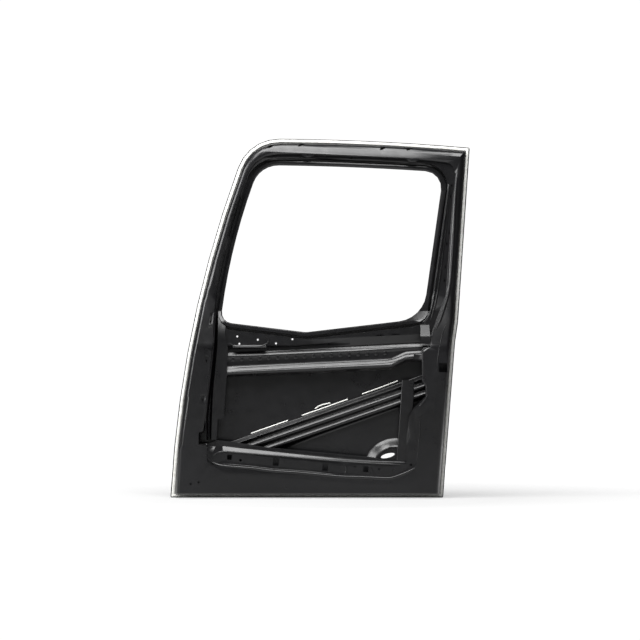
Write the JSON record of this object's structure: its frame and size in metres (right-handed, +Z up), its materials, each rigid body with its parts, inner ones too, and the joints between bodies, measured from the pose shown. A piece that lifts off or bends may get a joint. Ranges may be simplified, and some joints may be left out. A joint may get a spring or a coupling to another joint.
{
  "type": "truck cab door shell",
  "caption": "Bare right-hand door shell of a heavy truck cab, seen from its inner side: hemmed skin, deep inner panel, window frame, glass channels, belt rails and a sloping side impact beam.",
  "frame": {"origin": "under the middle of the door's overall box, at the foot edge", "axes": "+X towards the door's rear edge (lock side), +Y out of the cab, +Z up; the inner side faces -Y"},
  "size_m": [1.1693, 0.096, 1.4019],
  "materials": {
    "black_electrocoat": "satin dip primer",
    "hem_sealer_white": "cured seam sealer",
    "mastic_white": "cured mastic"
  },
  "bodies": {
    "root": {"outer_skin": "black_electrocoat", "inner_panel": "black_electrocoat", "hem_sealer": "hem_sealer_white", "guide_frame": "black_electrocoat", "belt_panel": "black_electrocoat", "mirror_reinforcement": "black_electrocoat", "front_glass_channel": "black_electrocoat", "rear_glass_channel": "black_electrocoat", "belt_rail_inner": "black_electrocoat", "belt_rail_bracket": "black_electrocoat", "belt_rail_outer": "black_electrocoat", "intrusion_beam": "black_electrocoat", "beam_bracket_front": "black_electrocoat", "beam_bracket_rear": "black_electrocoat", "rear_pillar_gusset": "black_electrocoat", "hinge_reinforcement_upper": "black_electrocoat", "hinge_reinforcement_lower": "black_electrocoat", "check_strap_reinforcement": "black_electrocoat", "lock_reinforcement": "black_electrocoat", "hinge_nut_plate_upper": "black_electrocoat", "hinge_nut_plate_lower": "black_electrocoat", "handle_reinforcement": "black_electrocoat", "mastic_bead_1": "mastic_white", "mastic_bead_2": "mastic_white", "mastic_bead_3": "mastic_white", "mastic_bead_4": "mastic_white"}
  },
  "joints": []
}
